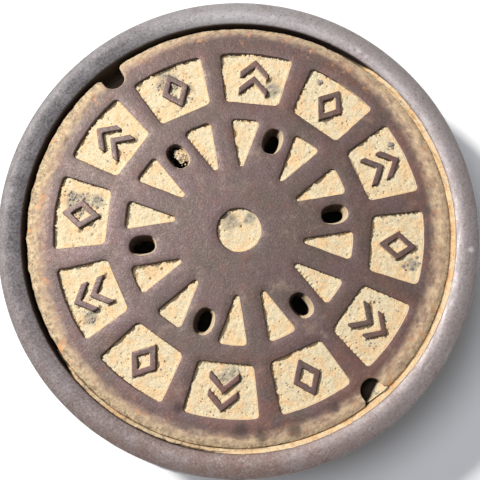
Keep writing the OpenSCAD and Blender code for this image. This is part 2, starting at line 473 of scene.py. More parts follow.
def plate_z(xy):
    """The plate's upper face: gentle waves, the sloping band at its edge and the crust on it."""
    x, y = xy.T
    r = np.hypot(x, y)
    waves = 0.30 * rough(x, y, 70, 5, 2) + 0.13 * lumps(x, y, 14, 8) + 0.07 * lumps(x, y, 5, 9)
    crust = around(xy, CRUST_AROUND)
    crust *= ease((r - 324 + 17 * crust - 4 * rough(x, y, 16, 11)) / 5)
    grit = 0.9 * rough(x, y, 8, 12) + 0.6 * lumps(x, y, 3, 13)
    slope = EDGE_DROP * np.clip((r - COVER_R + EDGE_W) / EDGE_W, 0, 1) ** 1.3
    return TOP + waves + crust * (0.5 + grit) - slope - worn_down(xy)


def worn_down(xy):
    """How far the plate has worn down towards the edge of each pocket and vent."""
    tree = worn_edges()
    gap = np.array([tree.find((x, y, 0))[2] for x, y in xy])
    return 0.75 * (1 - ease(gap / 12)) ** 1.5


@cache
def worn_edges():
    """A search tree of points along the edges of the pockets and the vents."""
    outlines = [at_panel(panel_outline(), i) for i in PANELS]
    outlines += [at_wedge(wedge_outline(), i) for i in PANELS]
    outlines += [at_vent(vent_outline(), i) for i in VENTS]
    outlines.append(disc_outline())
    points = np.concatenate([divided(outline, 2) for outline in outlines])
    tree = KDTree(len(points))
    for k, (x, y) in enumerate(points):
        tree.insert((x, y, 0), k)
    tree.balance()
    return tree


def edge_wobble(xy, seed):
    """How far a cast edge wanders off its outline."""
    return 0.35 * rough(*xy.T, 13, seed)


def drop_edge(shell, outline, depth_z, inward, spread=SLOPE, lip=LIP):
    """Rows from the plate over a worn lip and down a wall. `inward` is -1 for a raised mark."""
    outline = divided(outline, 2.3)
    wander = edge_wobble(outline, 20)[:, None] * normals(outline)
    guard = grown(outline, inward * lip * 1.25) + wander * 0.5
    z = plate_z(guard)
    rows = [shell.row(guard, z)]
    for out, down in ((1.0, 0.04), (0.62, 0.16), (0.3, 0.42), (0.08, 0.8), (0, 1.2)):
        loop = grown(outline, inward * lip * out) + wander
        rows.append(shell.row(loop, z - lip * down))
    for t in (0.35, 0.7, 1):
        loop = grown(outline, -inward * spread * t) + wander * (1 - 0.5 * t)
        level = (z - lip * 1.2) * (1 - t) + depth_z * t
        rows.append(shell.row(loop, level))
    shell.join_all(rows)
    return rows[0], rows[-1]


def mark_loops(i):
    """The outlines of panel i's raised mark: lozenges and chevrons by turns."""
    loops = lozenge_mark() if i % 2 else chevron_mark()
    return [at_panel(loop + [MARK_AT, 0], i) for loop in loops]


def cut_panel(shell, i):
    """A panel's pocket with its raised mark. Returns the pocket's loop in the plate."""
    guard, foot = drop_edge(shell, at_panel(panel_outline(), i), POCKET_Z, 1)
    outer, *others = mark_loops(i)
    guard_1, foot_1 = drop_edge(shell, outer, POCKET_Z, -1, lip=MARK_LIP)
    if i % 2:
        guard_2, foot_2 = drop_edge(shell, others[0], POCKET_Z, 1, lip=MARK_LIP)
        shell.fill([foot, foot_1])
        shell.fill([foot_2])
        shell.fill([guard_1, guard_2], 2.5, plate_z, i)
    else:
        guard_2, foot_2 = drop_edge(shell, others[0], POCKET_Z, -1, lip=MARK_LIP)
        shell.fill([foot, foot_1, foot_2])
        shell.fill([guard_1], 2.5, plate_z, i)
        shell.fill([guard_2], 2.5, plate_z, i)
    return guard


def cut_pocket(shell, outline):
    """A pocket without a mark. Returns its loop in the plate."""
    guard, foot = drop_edge(shell, outline, POCKET_Z, 1)
    shell.fill([foot])
    return guard


def cut_vent(shell, i):
    """A tapered hole through the plate. Returns its loops in the upper face and the underside."""
    outline = divided(vent_outline(), 1.6)
    foot = outline * [1 - 8 / VENT_LEN, 1 - (VENT_TAPER - 4) / VENT_W]
    shoulder, draft = TOP - 5, 0.5
    guard, row = drop_edge(shell, at_vent(outline, i), shoulder, 1, draft)
    start = outline - normals(outline) * draft
    for t in (0.12, 0.26, 0.42, 0.58, 0.74, 0.88, 1):
        loop = at_vent(start * (1 - t) + foot * t, i)
        bump = 0.7 * math.sin(math.pi * t) * rough(loop[:, 0] * 1.3 + 40 * t, loop[:, 1] * 1.3, 9, 31)
        loop = loop + normals(loop) * bump[:, None]
        below = shell.row(loop, shoulder - t * (shoulder - PLATE_Z))
        shell.join(row, below)
        row = below
    return guard, row


HOLLOW_STEPS = (                    # how far in and how far up each row of a hollow's side is
    (0, 0), (0.6, 0.2), (1.2, 0.8), (1.6, 1.6), (2.8, 8), (3.4, 9.6), (4.6, 11.2), (6, PLATE_Z - RIB_Z),
)


def raise_ribs(shell, rim, vent_feet):
    """The underside: the bearing rim, then a face that the ribs share, with hollows between."""
    outer = rim
    for step, z in ((0, FOOT), (1, FOOT + 0.5), (2, RIB_Z)):
        ring = shell.row(arc(BEARING_R - 2.5 - step, 0, 360, 240)[:-1], z)
        if step == 0:
            shell.fill([outer, ring])
        else:
            shell.join(outer, ring)
        outer = ring
    mouths = []
    for k in range(6):
        for low, high in ((BOSS_R, RING_RIB_R - RIB_HALF), (RING_RIB_R + RIB_HALF, BEARING_R - 7)):
            rows = []
            for inset, up in HOLLOW_STEPS:
                outline = turned(sector_outline(low, high, inset), 60 * k + 30)
                rows.append(shell.row(outline, RIB_Z + up))
            shell.join_all(rows)
            mouths.append(rows[0])
            shell.fill([rows[-1], vent_feet[k]] if low == BOSS_R else rows[-1:], 9, hollow_z, 60 + k)
    shell.fill([outer] + mouths, 9, lambda xy: RIB_Z + 0.2 * lumps(*xy.T, 15, 33), 61)


def hollow_z(xy):
    return PLATE_Z + 0.35 * rough(*xy.T, 22, 34)


def cover_side(shell):
    """Rows from the plate over the cover's ragged edge and down to its foot."""
    outline = divided(cover_outline(), 2.0)
    ragged = 1 + 2.0 * around(outline, CRUST_AROUND) * (np.hypot(*outline.T) > COVER_R - 1)
    wander = edge_wobble(outline, 41) * ragged - 0.35 * (ragged - 1)
    wander = wander[:, None] * normals(outline)
    rows = []
    for inset, down in ((2.2, 0), (1.4, 0.12), (0.7, 0.45), (0.2, 1.0), (0, 1.8)):
        loop = grown(outline, -inset) + wander
        rows.append(shell.row(loop, plate_z(loop) - down))
    edge = plate_z(outline) - 1.8
    for t in (0.25, 0.5, 0.75, 0.97):
        rows.append(shell.row(outline + wander * (1 - t), edge * (1 - t) + FOOT * t))
    rows.append(shell.row(grown(outline, -1.2), FOOT))
    shell.join_all(rows)
    return rows[0], rows[-1]


def make_cover(material):
    shell = Shell()
    guards = [cut_panel(shell, i) for i in PANELS]
    guards += [cut_pocket(shell, at_wedge(wedge_outline(), i)) for i in PANELS]
    guards.append(cut_pocket(shell, disc_outline()))
    vents = [cut_vent(shell, i) for i in VENTS]
    guards += [top for top, _ in vents]
    edge, foot = cover_side(shell)
    band = shell.row(arc(BAND_R, 0, 360, 380)[:-1], 0)
    shell.points[band, 2] = plate_z(shell.points[band, :2])
    shell.fill([edge, band], BAND_SPACING, plate_z, 4)
    shell.fill([band] + guards, PLATE_SPACING, plate_z, 3)
    raise_ribs(shell, foot, [low for _, low in vents])
    points = shell.points
    ruddy = around(points, STAINED_AROUND) * ease((np.hypot(*points[:, :2].T) - 150) / 120)
    make_piece("cover_casting", shell, material, "cover", "cover_iron", "cover",
               dust=cover_dust(points), rim=around(points, DUST_AROUND),
               crust=around(points, CRUST_AROUND), ruddy=ruddy)


def cover_dust(points):
    """Where the walls take dust and painted shade: 1 on the walls of pockets, vents and notches, near the
    top.
    """
    xy, z = points[:, :2], points[:, 2]
    below = plate_z(xy) - z
    notches = [turned([[NOTCH_AT, 0]], a)[0] for a in (90, 270)]
    by_notch = np.min([np.hypot(*(xy - notch).T) for notch in notches], 0) < NOTCH_R + 8
    inner = np.hypot(*xy.T) < COVER_R - 26
    return ease((below - 0.15) / 0.7) * (inner | by_notch) * ease(2 - below / 16)


# ---------- silt ----------

SILT_Z = PLUG_HIGH[2]


def rock(centre, size, seed):
    """A pebble: an icosphere, stretched and dented. Returns its points and faces."""
    squash = 0.7
    work = bmesh.new()
    bmesh.ops.create_icosphere(work, subdivisions=2, radius=1)
    points = np.array([v.co for v in work.verts])
    faces = [[v.index for v in f.verts] for f in work.faces]
    work.free()
    luck = np.random.RandomState(seed)
    for _ in range(5):
        side = luck.normal(size=3)
        side /= np.linalg.norm(side)
        over = np.maximum(points @ side - luck.uniform(0.5, 0.8), 0)
        points -= over[:, None] * side * 0.9
    points *= luck.uniform(0.75, 1.15, 3) * [1, 1, squash]
    points[:, :2] = turned(points[:, :2], luck.uniform(0, 360))
    return points * size / 2 + centre, faces


def add_rocks(shell, rocks, highest=math.inf):
    """Adds rocks, each given as centre, size, seed and tone. Returns the tone of every point."""
    tones = [np.zeros(len(shell.points))]
    for centre, size, seed, tone in rocks:
        points, faces = rock(centre, size, seed)
        points[:, 2] = np.minimum(points[:, 2], highest)
        shell.add(points, faces)
        tones.append(np.full(len(points), tone))
    return np.concatenate(tones)


def pits(loops, count, seed):
    """Small holes in the silt: where each is, its radius and its depth."""
    edge = np.concatenate(loops)
    luck = np.random.RandomState(seed)
    low, high = edge.min(0), edge.max(0)
    at = luck.uniform(low, high, (count * 6, 2))
    at = at[within(at, loops)]
    at = at[nearest(at, edge)[0] > 1.5][:count]
    radius = 0.7 + 1.9 * luck.uniform(0, 1, len(at)) ** 3
    return at, radius, radius * luck.uniform(0.8, 1.6, len(at))


def pit_points(holes):
    """Mesh points for each pit: its centre and two rings round it."""
    at, radius, _ = holes
    rings = [at] + [at + polar(1, a) * radius[:, None] * k for k in (0.45, 0.9) for a in range(0, 360, 60)]
    return np.concatenate(rings)


def silt_surface(edge, holes, seed, level, gravel):
    """A function that gives the silt's height at any points of a pocket."""

    def height(xy):
        x, y = xy.T
        gap, way = nearest(xy, edge)
        facing = way @ SUN
        z = level + 0.55 * rough(x, y, 26, seed) + 0.50 * rough(x, y, 6.5, seed + 7)
        z = z + 0.34 * lumps(x, y, 2.6, seed + 11)
        ragged = 3.6 + 3.4 * rough(x, y, 10, seed + 3) + 1.6 * lumps(x, y, 2.6, seed + 5)
        shade = ease(facing * 1.6 - 0.15) * (1 - ease((gap - ragged) / 1.2))
        z = z - shade * 4.2
        lit = ease(-facing * 1.5) * (1 - ease(gap / 5.5))
        z = z + lit * (1.1 + 0.5 * lumps(x, y, 7, seed + 13))
        z = z + greyness(xy, gravel) * (0.4 + 0.9 * rough(x, y, 6, seed + 19))
        at, radius, depth = holes
        for centre, r, d in zip(at, radius, depth):
            apart = np.hypot(x - centre[0], y - centre[1]) * (1 + 0.35 * lumps(x, y, 1.7, seed + 17))
            z = z - d * (1 - ease(apart / r - 0.15))
        return np.clip(z, POCKET_Z + 0.25, TOP - 0.7)

    return height


def greyness(xy, gravel):
    """How grey and stony the silt is: 1 in the middle of each patch of gravel."""
    grey = np.zeros(len(xy))
    for centre, spread in gravel:
        apart = np.hypot(*(xy - centre).T) + 0.35 * spread * rough(*xy.T, 9, 23)
        grey = np.maximum(grey, ease(1.5 - apart / spread))
    return grey


def fill_pocket(name, node, loops, seed, material, pebbles=(), gravel=(), pit_count=9):
    """Silt over the inside of the loops, down to the pocket's floor."""
    shell = Shell()
    loops = [divided(loop, 1.3) for loop in loops]
    edge = np.concatenate(loops)
    holes = pits(loops, pit_count, seed)
    height = silt_surface(edge, holes, seed, SILT_Z, gravel)
    rims = [shell.row(loop, height(loop)) for loop in loops]
    extra = pit_points(holes)
    extra = extra[within(extra, loops)]
    extra = extra[nearest(extra, edge)[0] > 0.8]
    shell.fill(rims, 1.25, height, seed, extra)
    feet = [shell.row(loop, POCKET_Z - 0.3) for loop in loops]
    for a, b in zip(rims, feet):
        shell.join(a, b)
    shell.fill(feet)
    rocks = [
        ((x, y, height(np.array([[x, y]]))[0] + size * 0.08), size, seed * 100 + n, tone)
        for n, (x, y, size, tone) in enumerate(pebbles)
    ]
    stone = add_rocks(shell, rocks, TOP + 1.5)
    # dark: painted shade where the silt dips towards the pocket's floor, in pits and along the walls on
    # the key light's side
    make_piece(name, shell, material, "cover", "silt", node, stone=stone,
               grey=greyness(shell.points[:, :2], gravel),
               dark=0.6 * ease((POCKET_Z + 2.5 - shell.points[:, 2]) / 3))


# Gravel that shows in the panels: panel, distance out, distance across, spread, how many, size
GRAVEL = (
    (3, 262, 6, 17, 60, 4.2), (3, 243, -18, 9, 14, 5.0), (5, 256, -16, 20, 60, 4.4),
    (5, 226, -24, 10, 16, 3.4), (6, 262, 30, 10, 14, 5.0), (11, 272, -28, 9, 12, 4.6),
    (12, 276, 24, 6, 5, 8.5), (1, 268, 36, 5, 3, 9.0), (8, 226, 8, 14, 10, 3.2),
    (9, 250, -28, 12, 8, 3.0), (2, 232, -30, 12, 10, 3.2), (4, 214, 10, 10, 8, 3.0),
    (7, 240, 30, 14, 9, 2.8), (10, 262, -30, 10, 8, 3.2), (12, 230, -26, 12, 8, 2.8),
)


def panel_pebbles(i, loops):
    """Pebbles in panel i, as x, y, size and tone, clear of the panel's walls and its mark."""
    luck = np.random.RandomState(700 + i)
    edge = np.concatenate([divided(loop, 2) for loop in loops])
    groups = [group for group in GRAVEL if group[0] == i] + [(i, 246, 0, 40, 26, 2.4)]
    found = []
    for _, out, across, spread, count, size in groups:
        at = luck.normal(0, spread / 1.6, (count, 2)) + [out, across]
        sizes = size * luck.uniform(0.5, 1.3, count)
        tones = luck.choice([0.35, 0.55, 0.8, 1.0], count)
        at = at_panel(at, i)
        keep = within(at, loops) & (nearest(at, edge)[0] > sizes * 0.45)
        found += [(x, y, s, t) for (x, y), s, t, k in zip(at, sizes, tones, keep) if k]
    return found


def make_silt(material):
    """Silt in every pocket. Each reaches a little into the walls round it and under its mark."""
    for i in PANELS:
        ways = (-0.5, 0.5) if i % 2 else (-0.5, -0.5)
        marks = [grown(loop, way) for loop, way in zip(mark_loops(i), ways)]
        loops = [grown(at_panel(panel_outline(), i), 0.4)] + marks
        gravel = [
            (at_panel([[out, across]], i)[0], spread)
            for panel, out, across, spread, count, _ in GRAVEL if panel == i and count > 9
        ]
        fill_pocket(f"panel_fill_{i}", f"panel_silt_{i}", loops, 100 + i, material,
                    panel_pebbles(i, loops), gravel, pit_count=34)
    for i in PANELS:
        loops = [grown(at_wedge(wedge_outline(), i), 0.4)]
        fill_pocket(f"wedge_fill_{i}", f"wedge_silt_{i}", loops, 140 + i, material, pit_count=11)
    gravel = [(polar(22.0, 95), 13), (polar(24.0, 10), 9)]
    fill_pocket("disc_fill", "disc_silt", [arc(DISC_R + 0.4, 0, 360, 160)[:-1]], 170, material,
                gravel=gravel, pit_count=10)


# ---------- frame ----------

WALL_R = 325
CLEAR_R = 305
RING_R = 374.6
RIM_FOOT_R = RING_R - 7
RIM_FOOT_Z = SEAT_Z - 8
HAUNCH_Z = SEAT_Z - 36
FLANGE_T = 18
CROWN_ARC, CROWN_AT = 32, SEAT_R + 17


def crown_points():
    """The ring's rounded top in section, from its outer face to its inner one."""
    centre = np.array([CROWN_AT, CROWN - CROWN_ARC])
    points = []
    for x, r, start in ((RING_R - 8, 8, 0), (SEAT_R + 3, 3, 180)):
        z = centre[1] + math.sqrt((CROWN_ARC - r) ** 2 - (x - CROWN_AT) ** 2)
        meet = math.degrees(math.atan2(z - centre[1], x - CROWN_AT))
        corner = arc(r, start, meet, 8, (x, z))
        points.append((corner, meet))
    (outer, out_a), (inner, in_a) = points
    return np.concatenate([outer, arc(CROWN_ARC, out_a + 2, in_a - 2, 20, centre), inner[::-1]])


def frame_profile():
    """The frame's section as radius and height, counter-clockwise."""
    outside = rounded(
        [[CLEAR_R, 0], [FLANGE_R, 0], [FLANGE_R, FLANGE_T], [WALL_R, FLANGE_T],
         [WALL_R, HAUNCH_Z], [RIM_FOOT_R, RIM_FOOT_Z], [RING_R, CROWN]],
        [1, 2, 4, 9, 14, 4, 0])[:-1]
    inside = rounded([[SEAT_R, CROWN], [SEAT_R, SEAT_Z], [CLEAR_R, SEAT_Z], [CLEAR_R, 0]],
                     [0, 2, 2.5, 0])[1:-1]
    return np.concatenate([outside, crown_points(), inside])


def spin(shell, profile, steps, moved, start=0, span=360):
    """Turns a closed section about Z. `moved` gives the points' final radius and height."""
    closed = span == 360
    angles = start + np.linspace(0, span, steps + (not closed), endpoint=not closed)
    r = np.repeat(profile[:, :1], len(angles), 1)
    z = np.repeat(profile[:, 1:], len(angles), 1)
    r, z = moved(r, z, np.broadcast_to(angles, r.shape))
    points = np.stack([*on_circle(r, angles), z], -1)
    first = len(shell.points)
    shell.points = np.concatenate([shell.points, points.reshape(-1, 3)])
    grid = first + np.arange(points.shape[0] * points.shape[1]).reshape(points.shape[:2])
    a, b = grid, np.roll(grid, -1, 0)
    if closed:
        quads = np.stack([a, b, np.roll(b, -1, 1), np.roll(a, -1, 1)], -1)
    else:
        quads = np.stack([a[:, :-1], b[:, :-1], b[:, 1:], a[:, 1:]], -1)
        shell.faces += [grid[:, 0].tolist(), grid[::-1, -1].tolist()]
    shell.faces += quads.reshape(-1, 4).tolist()


def worn_ring(profile, normal):
    """The cast and worn surface of the frame, as a function for spin()."""
    luck = np.random.RandomState(55)
    nicks = [
        (luck.uniform(-130, 60), luck.uniform(SEAT_R, SEAT_R + 22), luck.uniform(2.5, 5.5),
         luck.uniform(0.4, 1.1))
        for _ in range(34)
    ]
    crown = np.clip((profile[:, 1] - (CROWN - 16)) / 8, 0, 1)
    inner = (profile[:, 0] < SEAT_R + 2) & (profile[:, 1] > SEAT_Z - 1)

    def moved(r, z, angles):
        x, y = on_circle(r, angles)
        top = np.repeat(crown[:, None], angles.shape[1], 1)
        coarse = 0.5 * rough(x + z * 0.7, y + z * 0.9, 24, 71) + 0.25 * lumps(x - z, y + z, 4.5, 73)
        fine = 0.16 * rough(x, y, 60, 75, 2) + 0.04 * lumps(x, y, 11, 76)
        amount = coarse * (1 - top) * np.where(inner[:, None], 0.5, 1) + fine * top
        for a, at, size, depth in nicks:
            apart = np.hypot((np.radians(a - angles + 180) % (2 * math.pi) - math.pi) * at, r - at)
            amount -= depth * (1 - ease(apart / size)) * (top > 0.3)
        return r + normal[:, :1] * amount, z + normal[:, 1:] * amount

    return moved


def gusset():
    """One gusset as points and faces, along +X, which swells where it meets the casting."""
    local = Shell()
    outline = divided(rounded(
        [[WALL_R - 3, FLANGE_T - 4], [FLANGE_R - 14, FLANGE_T - 4], [FLANGE_R - 14, FLANGE_T + 8],
         [RIM_FOOT_R - 6, RIM_FOOT_Z - 2], [WALL_R - 3, HAUNCH_Z]], [0, 0, 5, 3, 0], 4), 4)

    def half_t(points):
        x, y = points.T
        swell = np.exp(-(x - WALL_R) / 4) + np.exp(-(y - FLANGE_T) / 4)
        slope = (HAUNCH_Z - RIM_FOOT_Z) / (WALL_R - RIM_FOOT_R)
        under = (HAUNCH_Z + (x - WALL_R) * slope - y) / math.hypot(1, slope)
        swell += np.exp(-np.maximum(under, 0) / 4)
        return 6.2 + 4.5 * np.minimum(swell, 1.3) + 0.35 * rough(x, y, 14, 78)

    rims = []
    for side in (1, -1):
        inner = grown(outline, -2.4)
        rim = local.row(inner, half_t(inner) * side)
        local.fill([rim], 5, lambda p: half_t(p) * side, 79)
        rims.append(rim)
    rows = [rims[0]]
    for inset, down in ((1, 0.6), (0.2, 2.4), (0, 4)):
        rows.append(local.row(grown(outline, -inset), half_t(outline) - down))
    for inset, down in ((0, 4), (0.2, 2.4), (1, 0.6)):
        rows.append(local.row(grown(outline, -inset), -half_t(outline) + down))
    rows.append(rims[1])
    local.join_all(rows)
    return local.points[:, [0, 2, 1]], local.faces


# How dull and dark the ring's crown is (a dull stain, deepened towards the inner slope as painted shade),
# and how brown, by direction
DULL_AND_SHADE_AROUND = ((141, 0.90), (111, 0.95), (81, 0.80), (62, 0.25), (51, 0.0), (-39, 0.05), (-99, 0.05),
               (-129, 0.20), (-159, 0.40), (171, 0.70))
RUDDY_AROUND = ((51, 0.0), (21, 0.25), (-9, 0.3), (-39, 0.35), (-69, 0.4), (-99, 0.55), (-129, 1.0),
                (-159, 0.85), (171, 0.6), (141, 0.15), (111, 0.0))


def make_frame(material):
    shell = Shell()
    profile = divided(frame_profile(), 9)
    spin(shell, profile, 520, worn_ring(profile, normals(profile)))
    points, faces = gusset()
    for k in range(8):
        placed = points.copy()
        placed[:, :2] = turned(points[:, :2], 45 * (k + 0.5))
        shell.add(placed, faces)
    make_piece("frame_casting", shell, material, "frame", "frame_iron", "frame",
               dull=around(shell.points, DULL_AND_SHADE_AROUND), ruddy=around(shell.points, RUDDY_AROUND))


def make_bed(material):
    """Thin grit that lies on the seat and follows the cover round."""
    low, high = CLEAR_R + 1.5, COVER_R - 1.5
    across = np.linspace(high, low, 14)
    top = np.stack([across, np.full(14, SEAT_Z + 1.5)], -1)
    profile = np.concatenate([[[low, SEAT_Z + 0.05], [high, SEAT_Z + 0.05]], top])

    def moved(r, z, angles):
        x, y = on_circle(r, angles)
        grit = 0.35 * rough(x, y, 7, 81) + 0.2 * lumps(x, y, 2.4, 82)
        middle = 1 - np.abs(r - (low + high) / 2) / ((high - low) / 2)
        up = (z > SEAT_Z + 1) * (grit - 0.8 * (1 - ease(middle * 4)))
        ragged = 1.2 * lumps(x, y, 12, 83) * (1 - ease(middle * 3))
        return r + ragged * np.sign((low + high) / 2 - r), np.minimum(z + up, FOOT - 0.03)

    shell = Shell()
    spin(shell, profile, 900, moved)
    # dark all over: painted shade on the seat grit, deep in the gap
    make_piece("seat_grit", shell, material, "bed", "sand", "bed_silt", dark=np.ones(len(shell.points)))


GAP_FROM, GAP_SPAN = -186, 207      # where the sand in the gap starts, and how far round it goes
CRACK_W = 2.3                       # width of the crack between the sand and the cover
BREAK_AT, BREAK_W = -79, 3.2        # where the crack is wider, and by how much
CRUSTED_AT = -128                   # from this direction back, the sand is crusted up to the cover


def crusted(degrees):
    """1 where the sand is crusted up to the cover, and 0 where a crack parts them."""
    return ease((CRUSTED_AT - degrees) / 14)


def make_gap_silt(material):
    """Sand packed against the ring, which slopes down to a cracked edge along the cover."""
    near, far = COVER_R + 1.0, SEAT_R + 2.2
    foot, ledge = SEAT_Z + 0.5, TOP - 26
    across = np.linspace(far, near, 15)
    slope = TOP + 1.3 - 4.2 * (far - across) / (far - near)
    profile = np.concatenate([[[near, foot], [SEAT_R + 0.3, foot], [SEAT_R + 0.5, ledge]],
                              np.stack([across, slope], -1), [[near + 0.2, ledge]]])

    def moved(r, z, angles):
        x, y = on_circle(r, angles)
        rest = np.abs(angles - GAP_FROM - GAP_SPAN / 2) - GAP_SPAN / 2
        fade = np.where(angles < -90, 12, 20)
        ends = ease((rest + fade + 4 * lumps(angles, r * 0, 4, 84)) / (fade - 2))
        grit = 0.55 * rough(x, y, 9, 85) + 0.25 * lumps(x, y, 2.4, 86)
        wide = CRACK_W + BREAK_W * ease(1.6 - np.abs(angles - BREAK_AT) / 4)
        crack = ease((near + wide + 1.5 * rough(x, y, 11, 87) - r) / 1.1)
        crack *= ease(1.2 + 1.8 * rough(angles, r * 0, 6, 88) + wide - CRACK_W)
        joined = crusted(angles)
        parted = joined * ease((r - SEAT_R + 2.4 + 0.9 * rough(x, y, 9, 71)) / 0.9)
        raised = joined * 2.4 * (far - r) / (far - near)
        lowered = 5 * crack * (1 - joined) + 9 * parted + 17 * ends
        up = (z > TOP - 8) * np.maximum(grit + raised - lowered, TOP - 25 - z)
        return r, z + up

    shell = Shell()
    spin(shell, profile, 800, moved, GAP_FROM, GAP_SPAN)
    x, y, z = shell.points.T
    degrees = (np.degrees(np.arctan2(y, x)) - 60) % 360 - 300
    pitted = crusted(degrees) * (0.20 + 0.5 * ease(1.1 * rough(x, y, 4, 72) - 0.1))
    # dark: darker mottling on the crusted sand, and painted shade on the sand from 8 mm below the plate
    # down
    make_piece("gap_sand", shell, material, "frame", "sand", "gap_silt",
               dark=np.maximum(pitted, ease((TOP - 8 - z) / 9)))


def make_notch_silt(material):
    """Silt that slopes down from the second notch's mouth to its dark inner end."""
    mouth, wide = COVER_R - NOTCH_AT, NOTCH_R + NOTCH_FLARE
    neck = mouth - NOTCH_FLARE
    bottom = arc(NOTCH_R, 100, 260, 16)
    outline = np.concatenate([[[mouth - 2, -wide + 2], [mouth - 2, wide - 2], [neck, NOTCH_R]], bottom,
                              [[neck, -NOTCH_R]]])
    local = grown(divided(outline, 1.4), 0.25)
    edge = turned(local + [NOTCH_AT, 0], 270)

    def height(xy):
        x, y = turned(xy, -270).T
        x = x - NOTCH_AT
        inner = x + 0.44 * y + 9 * ease((x - 9) / 6)
        z = np.interp(inner, [-14, 3, 8, mouth + 6], [FOOT + 6, TOP - 32, TOP - 10, TOP - 3])
        z = z + 1.3 * rough(x, y, 9, 91) + 0.5 * lumps(x, y, 2.6, 92)
        return z + 2.5 * ease((y - 4) / 12) * ease((x + 14) / 12)

    shell = Shell()
    rim = shell.row(edge, height(edge))
    shell.fill([rim], 1.2, height, 93)
    foot = shell.row(edge, FOOT + 1.6)
    shell.join(rim, foot)
    shell.fill([foot])
    luck = np.random.RandomState(94)
    rocks = []
    for n in range(16):
        x, y = luck.uniform(-6, 10), luck.uniform(-14, 14)
        at = turned([[NOTCH_AT + x, y]], 270)
        centre = (*at[0], height(at)[0] + 0.4)
        rocks.append((centre, luck.uniform(1.8, 4.5), 950 + n, luck.choice([0.3, 0.6, 0.9])))
    # dark: painted shade on the silt from 15 mm below the plate down, towards the notch's inner end
    make_piece("notch_fill", shell, material, "cover", "silt", "notch_silt",
               stone=add_rocks(shell, rocks), dark=ease((TOP - 15 - shell.points[:, 2]) / 7))


def make_vent_silt(material):
    """A clump of silt and grit caught across the inner end of the second vent."""
    t = np.arange(0, 360, 8)
    wobble = 1 + 0.28 * rough(t / 9.0, t * 0, 4, 96)
    outline = divided(polar(1.0, t) * [12, 9] * wobble[:, None] + [0, -5.5], 1.2)
    high, low = PLATE_Z + 20, PLATE_Z + 8

    def height(xy):
        x, y = turned(xy, -90).T
        x = x - VENT_AT
        middle = 1 - np.hypot(x / 12, (y + 5.5) / 9)
        return high - 4 + 4 * ease(middle * 1.5) + 1.8 * rough(x, y, 5, 97) + 0.8 * lumps(x, y, 2, 98)

    shell = Shell()
    edge = at_vent(outline, 2)
    rim = shell.row(edge, height(edge))
    shell.fill([rim], 1.1, height, 99)
    foot = shell.row(at_vent(outline * 0.8 + [0, -1], 2), low + 0.6)
    shell.join(rim, foot)
    shell.fill([foot], 2, lambda xy: low + 0.6 + 0.5 * lumps(*xy.T, 4, 89), 90)
    luck = np.random.RandomState(77)
    rocks = []
    for n in range(60):
        at = at_vent([[luck.normal(0, 5.5), luck.normal(-4.5, 4)]], 2)
        centre = (*at[0], height(at)[0] + 0.5)
        rocks.append((centre, luck.uniform(1.6, 4.2), 970 + n, luck.choice([0, 0, 0.3, 0.6])))
    make_piece("vent_clump", shell, material, "cover", "silt", "vent_silt",
               stone=add_rocks(shell, rocks))


# ---------- materials ----------

# Radii and heights in a material are in metres.

def srgb(r, g, b):
    """A colour given as 0 to 255 per channel, in the renderer's linear values."""
    c = np.array([r, g, b]) / 255
    c = np.where(c <= 0.04045, c / 12.92, ((c + 0.055) / 1.055) ** 2.4)
    return (*c.tolist(), 1)


